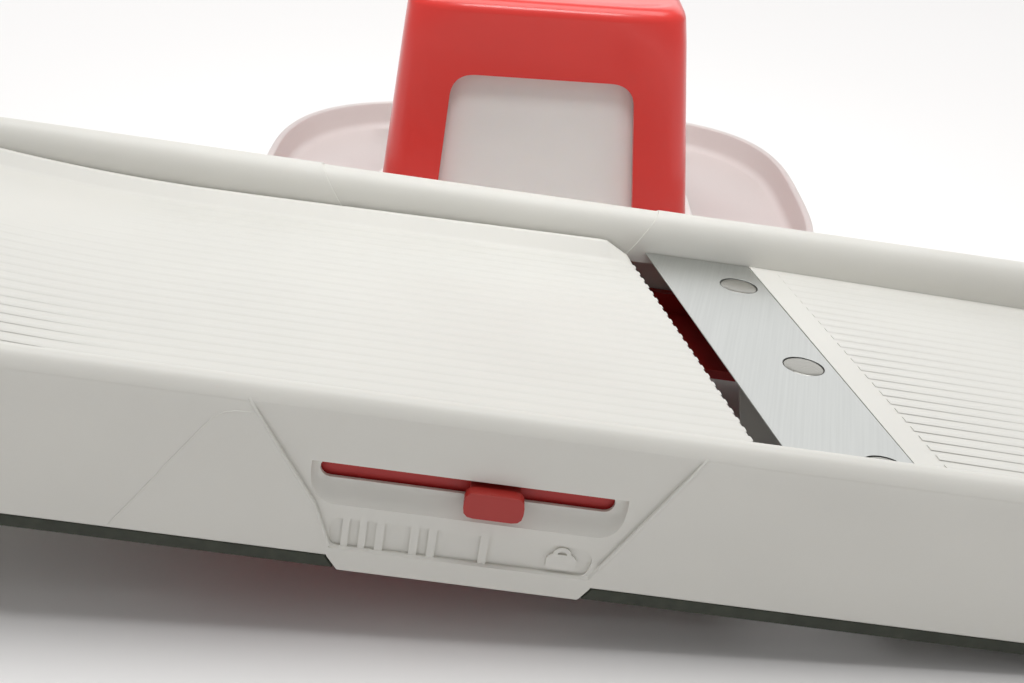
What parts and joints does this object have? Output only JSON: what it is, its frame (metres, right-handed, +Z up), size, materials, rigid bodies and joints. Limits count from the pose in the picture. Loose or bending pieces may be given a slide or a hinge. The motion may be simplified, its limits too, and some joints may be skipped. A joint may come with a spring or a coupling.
{
  "type": "mandoline slicer",
  "caption": "Adjustable mandoline slicer with a slanted blade, a tilting in-feed platform set by a side slider, a fold-out stand and a separate hand guard with a plunger.",
  "frame": {"origin": "centre of the whole object's footprint, on the table the feet stand on", "axes": "+X from the raised in-feed end towards the out-feed end, +Y from the slicer towards the food holder, +Z up; the slicer itself is pitched 4.6 degrees, its in-feed end raised"},
  "size_m": [0.3565, 0.264, 0.067],
  "materials": {
    "white_plastic": "warm white moulded plastic, satin",
    "red_plastic": "red moulded plastic, semi-gloss",
    "blade_steel": "fine ground stainless steel",
    "rivet_steel": "turned stainless steel",
    "dark_rubber": "dark soft rubber",
    "guard_plastic": "frosted translucent plastic"
  },
  "bodies": {
    "slicer": {"slicer_body": "white_plastic", "platform_pivot_rod": "blade_steel", "blade": "blade_steel", "blade_rivet_far": "rivet_steel", "blade_rivet_mid": "rivet_steel", "blade_rivet_near": "rivet_steel", "rubber_strip_near_infeed": "dark_rubber", "rubber_strip_near_outfeed": "dark_rubber", "rubber_strip_far_infeed": "dark_rubber", "rubber_strip_far_outfeed": "dark_rubber", "outfeed_foot_near": "dark_rubber", "outfeed_foot_far": "dark_rubber", "stand_pin_near": "blade_steel", "stand_pin_far": "blade_steel"},
    "slider": {"slider_carriage": "red_plastic", "slider_knob": "red_plastic", "detent_spring": "blade_steel"},
    "platform": {"infeed_platform": "white_plastic"},
    "stand": {"stand_leg": "white_plastic", "stand_foot_near": "dark_rubber", "stand_foot_far": "dark_rubber"},
    "holder": {"guard_plate": "guard_plastic", "holder_core": "white_plastic"},
    "plunger": {"handle_cap": "red_plastic", "plunger_stem": "white_plastic", "pusher_plate": "white_plastic", "pusher_screw": "rivet_steel", "prong_1": "rivet_steel", "prong_2": "rivet_steel", "prong_3": "rivet_steel", "prong_4": "rivet_steel", "prong_5": "rivet_steel", "prong_6": "rivet_steel"}
  },
  "joints": [
    {"name": "thickness_slide", "type": "slide", "parent": "slicer", "child": "slider", "axis": [0.9968, 0, -0.0802], "range_m": [-0.022, 0.0138]},
    {"name": "platform_pivot", "type": "hinge", "parent": "slicer", "child": "platform", "pos_m": [-0.10502, -0.07445, 0.04564], "axis": [0, -1, 0], "range_deg": [-1.8, 1.15]},
    {"name": "stand_fold", "type": "hinge", "parent": "slicer", "child": "stand", "pos_m": [-0.14186, -0.07445, 0.03657], "axis": [0, -1, 0], "range_deg": [0, 103]},
    {"name": "holder_lift", "type": "slide", "parent": "slicer", "child": "holder", "axis": [0, 0, 1], "range_m": [0, 0.12]},
    {"name": "plunger_slide", "type": "slide", "parent": "holder", "child": "plunger", "axis": [0, 0, 1], "range_m": [0, 0.03]}
  ],
  "couplings": [
    {"joint": "platform_pivot", "follows": "thickness_slide", "rad_per_m": 1.381}
  ]
}
